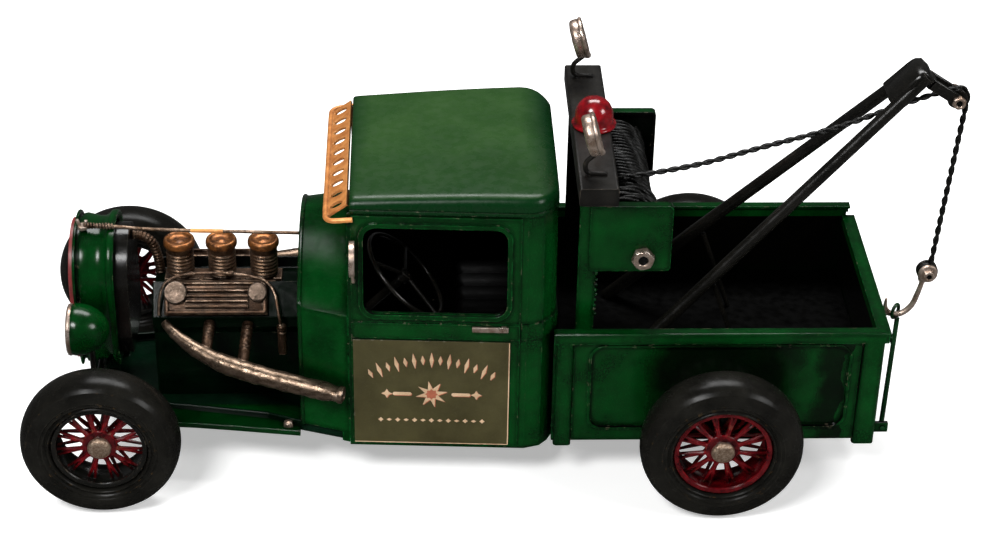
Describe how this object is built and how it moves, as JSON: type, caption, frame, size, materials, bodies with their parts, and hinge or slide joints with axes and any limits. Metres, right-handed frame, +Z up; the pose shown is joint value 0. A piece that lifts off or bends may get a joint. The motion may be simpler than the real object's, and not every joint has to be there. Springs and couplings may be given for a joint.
{
  "type": "toy tow truck",
  "caption": "Vintage hot-rod tow truck toy with an open engine, wire wheels that roll, a rope winch, an A-frame boom, a hook and a hinged tow sling.",
  "frame": {"origin": "on the ground under the middle of the truck's length and width", "axes": "+Z up, +X towards the rear of the truck, -Y towards its driver's side with the front facing -X"},
  "size_m": [0.3334, 0.1374, 0.1483],
  "materials": {
    "green_paint": "gloss",
    "black_paint": "satin",
    "red_paint": "gloss",
    "copper_paint": "satin",
    "antique_silver": "worn",
    "bright_steel": "satin",
    "tyre_rubber": "satin",
    "red_lens": "gloss",
    "rope_black": "satin",
    "sign_olive": "satin",
    "seat_black": "satin"
  },
  "bodies": {
    "truck": {"grille_shell": "green_paint", "chassis_pan": "green_paint", "cowl": "green_paint", "cab_body": "green_paint", "roof": "green_paint", "door_left": "green_paint", "door_right": "green_paint", "bed_side_left": "green_paint", "bed_side_right": "green_paint", "tailgate": "green_paint", "winch_brackets": "green_paint", "light_bar_posts": "green_paint", "headlights": "green_paint", "engine_block": "green_paint", "front_axle": "black_paint", "rear_axle": "black_paint", "headlight_bar": "black_paint", "bed_floor": "black_paint", "light_bar": "black_paint", "boom_legs": "black_paint", "boom_head": "black_paint", "boom_stays": "black_paint", "steering_column": "black_paint", "radiator_core": "black_paint", "grille_insert": "red_paint", "stack_caps": "copper_paint", "sun_visor": "copper_paint", "intake_manifold": "antique_silver", "carburettor_stacks": "antique_silver", "valve_covers": "antique_silver", "exhaust_left": "antique_silver", "exhaust_right": "antique_silver", "oil_line": "antique_silver", "radiator_hose": "antique_silver", "stay_rod": "antique_silver", "radiator_cap": "bright_steel", "door_handles": "bright_steel", "wing_mirror": "bright_steel", "work_lamps": "bright_steel", "winch_bolts": "bright_steel", "beacon": "red_lens", "rope_run": "rope_black", "door_signs": "sign_olive", "seat": "seat_black"},
    "front_left_wheel": {"tyre_front_left": "tyre_rubber", "wire_wheel_front_left": "red_paint"},
    "front_right_wheel": {"tyre_front_right": "tyre_rubber", "wire_wheel_front_right": "red_paint"},
    "rear_left_wheel": {"tyre_rear_left": "tyre_rubber", "wire_wheel_rear_left": "red_paint"},
    "rear_right_wheel": {"tyre_rear_right": "tyre_rubber", "wire_wheel_rear_right": "red_paint"},
    "winch_drum": {"winch_drum": "black_paint", "rope_winding": "rope_black"},
    "tip_sheave": {"tip_sheave": "black_paint"},
    "hanging_rope": {"rope_drop": "rope_black", "hook_block": "bright_steel", "tow_hook": "copper_paint"},
    "tow_sling": {"tow_sling": "green_paint"},
    "steering_wheel": {"steering_wheel": "black_paint"}
  },
  "joints": [
    {"name": "front_left_roll", "type": "hinge", "parent": "truck", "child": "front_left_wheel", "pos_m": [-0.138, -0.0548, 0.028], "axis": [0, 1, 0], "continuous": true},
    {"name": "front_right_roll", "type": "hinge", "parent": "truck", "child": "front_right_wheel", "pos_m": [-0.138, 0.0548, 0.028], "axis": [0, 1, 0], "continuous": true},
    {"name": "rear_left_roll", "type": "hinge", "parent": "truck", "child": "rear_left_wheel", "pos_m": [0.0799, -0.0607, 0.02885], "axis": [0, 1, 0], "continuous": true},
    {"name": "rear_right_roll", "type": "hinge", "parent": "truck", "child": "rear_right_wheel", "pos_m": [0.0799, 0.0607, 0.02885], "axis": [0, 1, 0], "continuous": true},
    {"name": "winch_turn", "type": "hinge", "parent": "truck", "child": "winch_drum", "pos_m": [0.0455, 0, 0.0985], "axis": [0, 1, 0], "continuous": true},
    {"name": "sheave_turn", "type": "hinge", "parent": "truck", "child": "tip_sheave", "pos_m": [0.1624, 0, 0.1345], "axis": [0, 1, 0], "continuous": true},
    {"name": "steering_turn", "type": "hinge", "parent": "truck", "child": "steering_wheel", "pos_m": [-0.031, -0.02, 0.074], "axis": [0.7071, 0, 0.7071], "continuous": true},
    {"name": "sling_swing", "type": "hinge", "parent": "truck", "child": "tow_sling", "pos_m": [0.141, 0, 0.0215], "axis": [0, 1, 0], "range_deg": [-6, 0]},
    {"name": "rope_swing", "type": "hinge", "parent": "truck", "child": "hanging_rope", "pos_m": [0.1624, 0, 0.1345], "axis": [0, 1, 0], "range_deg": [0, 1.6]}
  ],
  "couplings": [
    {"joint": "rope_swing", "follows": "sling_swing", "ratio": -0.2617}
  ]
}
